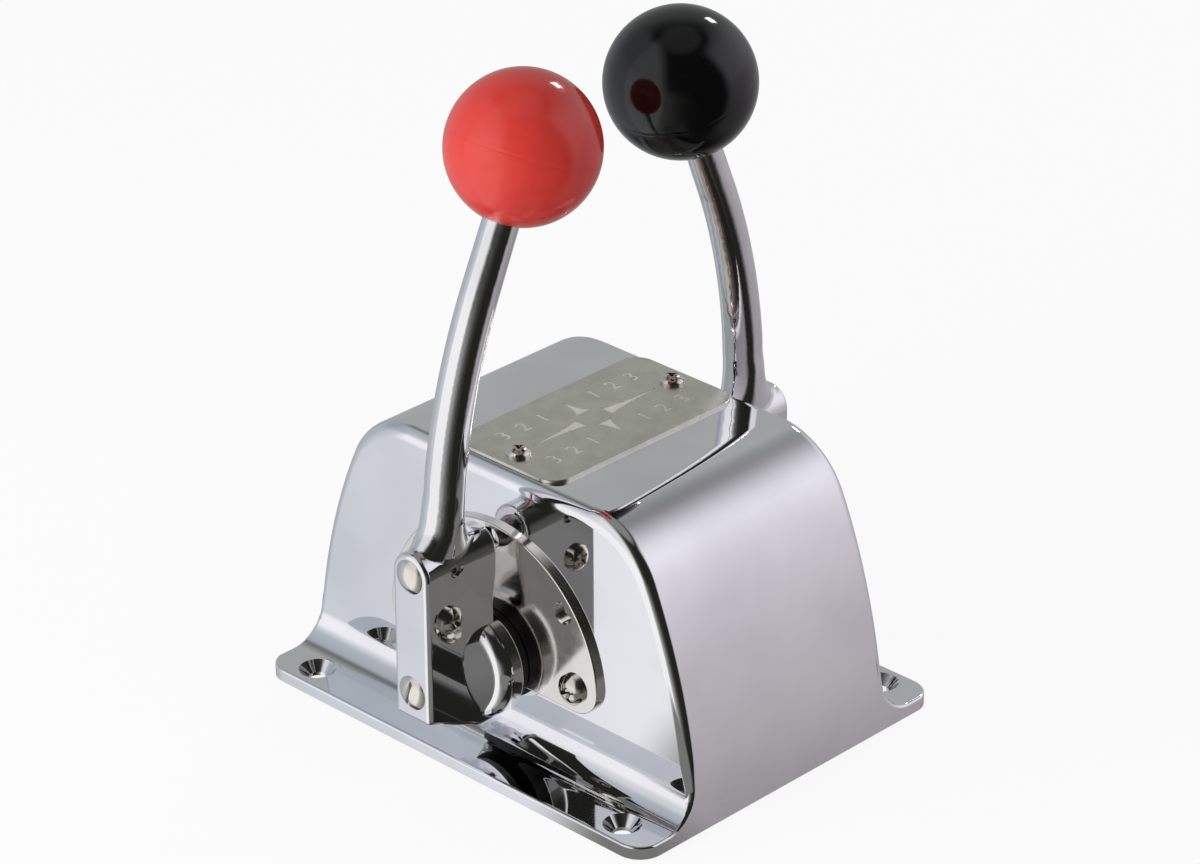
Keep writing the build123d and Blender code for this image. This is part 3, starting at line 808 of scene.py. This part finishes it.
def addPattern(tree, place, look):
    # lathe rings, soft cells or noise on the object's own coordinates, sized in millimetres; a stretch
    # over one draws the noise out along that axis
    vector = (place, "Object")
    if "stretch" in look:
        scale = [1 / share for share in look["stretch"]]
        vector = (addNode(tree, "ShaderNodeMapping", values={"Scale": scale}, links={"Vector": vector}), 0)
    if "rings" in look:
        return addNode(
            tree, "ShaderNodeTexWave", {"wave_type": "BANDS", "bands_direction": "X"},
            {
                "Scale": 1000 / look["rings"] / patternShape["bandsPerUnit"],
                "Distortion": 1.5, "Detail": 2.0, "Detail Scale": 2.0,
            },
            {"Vector": vector},
        )
    if "cells" in look:
        return addNode(
            tree, "ShaderNodeTexVoronoi", {"feature": "SMOOTH_F1"},
            {"Scale": 1000 / look["cells"], "Smoothness": 1.0}, {"Vector": vector},
        )
    return addNode(
        tree, "ShaderNodeTexNoise", values={"Scale": 1000 / look["size"], "Detail": look["detail"]},
        links={"Vector": vector},
    )


def makeFinish(name, surface, tint, grain, haze=None):
    # the tint varies the colour, the haze the roughness and the grain the slope; the surface holds
    # what is the same all over
    material = newMaterial(name)
    tree = material.node_tree
    place = addNode(tree, "ShaderNodeTexCoord")
    colour = addNode(
        tree, "ShaderNodeValToRGB", links={"Fac": (addPattern(tree, place, tint), 0)},
        stops=list(zip(patternShape["tintSpan"], tint["colours"])),
    )
    bump = addNode(
        tree, "ShaderNodeBump", values={"Strength": grain["strength"], "Distance": grain["height"] / 1000},
        links={"Height": (addPattern(tree, place, grain), 0)},
    )
    links = {"Base Color": (colour, 0), "Normal": (bump, 0)}
    if haze:
        low, high = patternShape["hazeSpan"]
        smooth, rough = haze["roughness"]
        roughness = addNode(
            tree, "ShaderNodeMapRange",
            values={"From Min": low, "From Max": high, "To Min": smooth, "To Max": rough},
            links={"Value": (addPattern(tree, place, haze), 0)},
        )
        links["Roughness"] = (roughness, 0)
    shader = addNode(tree, "ShaderNodeBsdfPrincipled", values=surface, links=links)
    addNode(tree, "ShaderNodeOutputMaterial", links={"Surface": (shader, 0)})
    return material


def satinSteel(name, colours, roughness):
    # tumbled and plated or polished steel: silvery, its mirror softened by a fine even grain
    return makeFinish(
        name, {"Metallic": 1.0},
        tint={"colours": colours, "size": 9, "detail": 3.0},
        grain={"strength": 0.05, "height": 0.02, "size": 0.5, "detail": 4.0},
        haze={"roughness": (roughness * 0.8, roughness * 1.3), "size": 4, "detail": 4.0},
    )


def turnedMetal(name, colours, roughness, rings):
    # lathe finished metal: rings across the axis catch the light in bands, drawn about six times
    # coarser than a lathe's feed so that they show
    return makeFinish(
        name, {"Metallic": 1.0},
        tint={"colours": colours, "size": 3, "detail": 3.0},
        grain={"strength": 0.15, "height": 0.03, "rings": rings},
        haze={"roughness": (roughness * 0.8, roughness * 1.3), "size": 2, "detail": 3.0},
    )


def mouldedBall(name, colours, roughness):
    # thermoset moulding buffed to a gloss: deep even colour under a clear skin with a faint ripple
    return makeFinish(
        name, {"IOR": 1.5},
        tint={"colours": colours, "size": 14, "detail": 2.0},
        grain={"strength": 0.06, "height": 0.2, "size": 11, "detail": 1.0},
        haze={"roughness": (roughness * 0.7, roughness * 1.4), "size": 5, "detail": 4.0},
    )


def plainPlastic(name, colours, roughness, glow):
    # machined or moulded plastic: soft sheen, small tool marks and a little light through its edges
    return makeFinish(
        name, {"IOR": 1.49, "Subsurface Weight": glow, "Subsurface Scale": 0.002},
        tint={"colours": colours, "size": 8, "detail": 2.0},
        grain={"strength": 0.2, "height": 0.04, "size": 0.6, "detail": 3.0, "stretch": (1, 6, 6)},
        haze={"roughness": (roughness * 0.85, roughness * 1.2), "size": 3, "detail": 3.0},
    )


# bright chromium over a buffed zinc casting: a mirror with a faint waviness and a trace of haze
chromeFinish = makeFinish(
    "chromeOnZinc", {"Metallic": 1.0},
    tint={"colours": ("#E9E9EC", "#F1F1F3"), "size": 30, "detail": 2.0},
    grain={"strength": 0.03, "height": 0.2, "size": 22, "detail": 1.0},
    haze={"roughness": (0.018, 0.045), "size": 6, "detail": 3.0},
)
# stainless sheet with a brushed satin face: the grain runs fore and aft and blurs what it mirrors
plateFinish = makeFinish(
    "satinStainless", {"Metallic": 1.0},
    tint={"colours": ("#D2D0C4", "#DEDCD1"), "size": 7, "detail": 4.0},
    grain={"strength": 0.25, "height": 0.03, "size": 0.35, "detail": 3.0, "stretch": (1, 40, 40)},
    haze={"roughness": (0.24, 0.36), "size": 5, "detail": 4.0},
)
# the floor of an etched mark: pale, dull and finely pitted
etchFinish = makeFinish(
    "etchedStainless", {"Metallic": 0.45, "Roughness": 0.6},
    tint={"colours": ("#ECEBDF", "#F4F3E8"), "size": 2.5, "detail": 4.0},
    grain={"strength": 0.4, "height": 0.04, "size": 0.25, "detail": 5.0},
)
# clear passivated zinc over steel: a dull bluish grey with soft cloudy patches
zincFinish = makeFinish(
    "zincOnSteel", {"Metallic": 1.0},
    tint={"colours": ("#A9ADB2", "#BEC2C6"), "cells": 2.2},
    grain={"strength": 0.15, "height": 0.04, "size": 0.4, "detail": 4.0},
    haze={"roughness": (0.289, 0.408), "cells": 2.2},
)
nickelFinish = satinSteel("nickelOnSteel", ("#E9E3DC", "#F0EBE5"), roughness=0.11)
screwFinish = satinSteel("polishedStainless", ("#DAD3CB", "#E6E1DA"), roughness=0.06)
springFinish = satinSteel("hardenedSteel", ("#A8A6A3", "#B8B6B3"), roughness=0.18)
shaftFinish = turnedMetal("turnedStainless", ("#B9B7B4", "#C9C7C4"), roughness=0.24, rings=1.57)
studFinish = turnedMetal("turnedStud", ("#B4B6B8", "#C4C6C8"), roughness=0.28, rings=1.88)
brassFinish = turnedMetal("turnedBrass", ("#C19A4C", "#CDA75B"), roughness=0.26, rings=1.88)
acetalFinish = plainPlastic("naturalAcetal", ("#E6E1D2", "#EDE9DC"), roughness=0.38, glow=0.15)
nylonFinish = plainPlastic("blackNylon", ("#171718", "#202021"), roughness=0.45, glow=0.0)
redFinish = mouldedBall("redPhenolic", ("#CE3A33", "#D63F37"), roughness=0.14)
blackFinish = mouldedBall("blackPhenolic", ("#0A0A0B", "#0D0D0E"), roughness=0.09)

housing.data.materials.append(chromeFinish)
balls["throttle"].data.materials.append(redFinish)
balls["shift"].data.materials.append(blackFinish)
plate.data.materials.append(plateFinish)
plate.data.materials.append(etchFinish)
# an etched floor faces up and lies within half a depth of the engraving's own
plateTop = plateShape["bottom"] + plateShape["thickness"]
etchHeight = plateTop - plateShape["depth"]
for face in plate.data.polygons:
    offset = abs(face.center.z * 1000 - etchHeight)
    face.material_index = int(face.normal.z > plateShape["facingUp"] and offset < plateShape["depth"] / 2)

# by the ending of a node's name, of which the longest that fits counts
finishes = {
    "arm": chromeFinish,
    "quadrant": nickelFinish,
    "screws": screwFinish,
    "detent_plug": screwFinish,
    "shaft_screw": screwFinish,
    "cross_screw": screwFinish,
    "set_screw": springFinish,
    "shaft": shaftFinish,
    "detent_ball": springFinish,
    "detent_spring": springFinish,
    "stud_clip": springFinish,
    "crank": zincFinish,
    "crank_screw": zincFinish,
    "crank_washer": zincFinish,
    "cable_stud": studFinish,
    "shaft_bush": acetalFinish,
    "thrust_washer": nylonFinish,
    "knob_insert": brassFinish,
}
for name, item in nodes.items():
    endings = [ending for ending in finishes if name.endswith(ending)]
    if endings:
        for slot in item.material_slots:
            slot.material = finishes[max(endings, key=len)]
print("materials ready")
